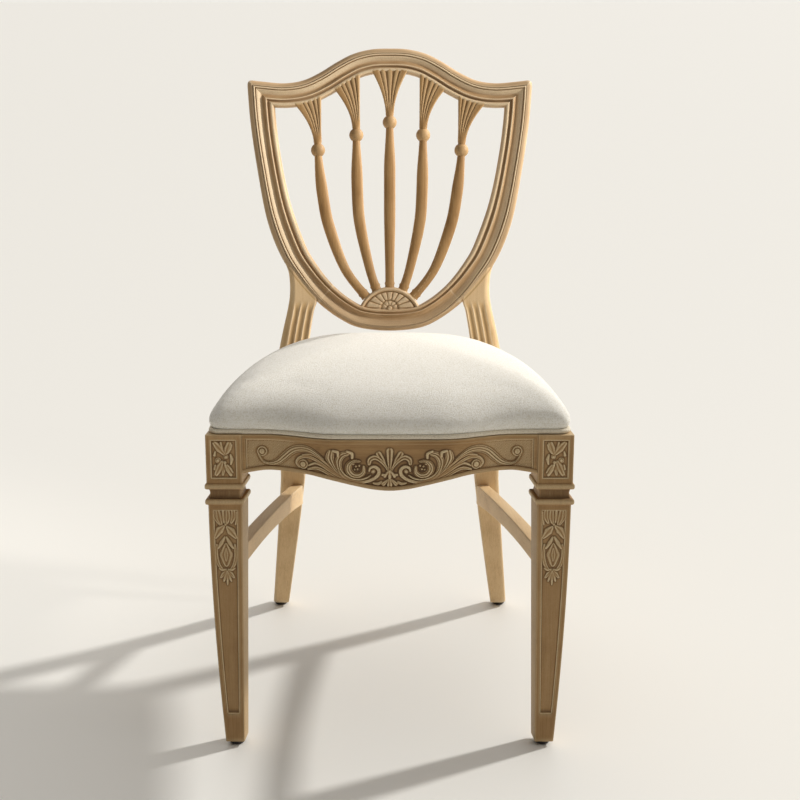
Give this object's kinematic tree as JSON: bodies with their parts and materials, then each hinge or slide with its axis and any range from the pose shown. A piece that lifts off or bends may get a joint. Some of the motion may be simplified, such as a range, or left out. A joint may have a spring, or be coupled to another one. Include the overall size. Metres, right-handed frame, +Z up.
{
  "type": "shield back dining chair",
  "caption": "Wooden dining chair with a moulded shield-shaped back, carved ribs, a bowed front rail and a stuffed, cloth-covered seat.",
  "frame": {"origin": "on the floor, at the middle of the chair's footprint: centre of the bounding box in X and Y, underside of the glides in Z", "axes": "+Z is up, the front of the chair faces -Y, and +X is to the right of somebody who looks at its front"},
  "size_m": [0.5044, 0.596, 0.9533],
  "materials": {
    "wood": "limed beech, waxed, with pale wax left in the carving",
    "inner_wood": "raw beech",
    "linen": "plain woven linen",
    "dust_cloth": "thin black cloth",
    "stuffing": "foam, open cells",
    "glide": "dark nylon",
    "screw": "bright zinc"
  },
  "bodies": {
    "root": {"back_rail": "wood", "centre_rib": "wood", "crest_rail": "wood", "dust_cover": "dust_cloth", "fan_rosette": "wood", "front_rail": "wood", "left_back_post": "wood", "left_front_block_screw_rail": "screw", "left_front_block_screw_side": "screw", "left_front_corner_block": "inner_wood", "left_front_glide": "glide", "left_front_leg": "wood", "left_front_seat_screw": "screw", "left_inner_rib": "wood", "left_outer_rib": "wood", "left_rear_block_screw_rail": "screw", "left_rear_block_screw_side": "screw", "left_rear_corner_block": "inner_wood", "left_rear_glide": "glide", "left_rear_seat_screw": "screw", "left_side_rail": "wood", "left_side_stretcher": "wood", "lower_shield_rail": "wood", "right_back_post": "wood", "right_front_block_screw_rail": "screw", "right_front_block_screw_side": "screw", "right_front_corner_block": "inner_wood", "right_front_glide": "glide", "right_front_leg": "wood", "right_front_seat_screw": "screw", "right_inner_rib": "wood", "right_outer_rib": "wood", "right_rear_block_screw_rail": "screw", "right_rear_block_screw_side": "screw", "right_rear_corner_block": "inner_wood", "right_rear_glide": "glide", "right_rear_seat_screw": "screw", "right_side_rail": "wood", "right_side_stretcher": "wood", "seat_board": "inner_wood", "seat_cover": "linen", "seat_foam": "stuffing", "seat_welt": "linen"}
  },
  "joints": []
}
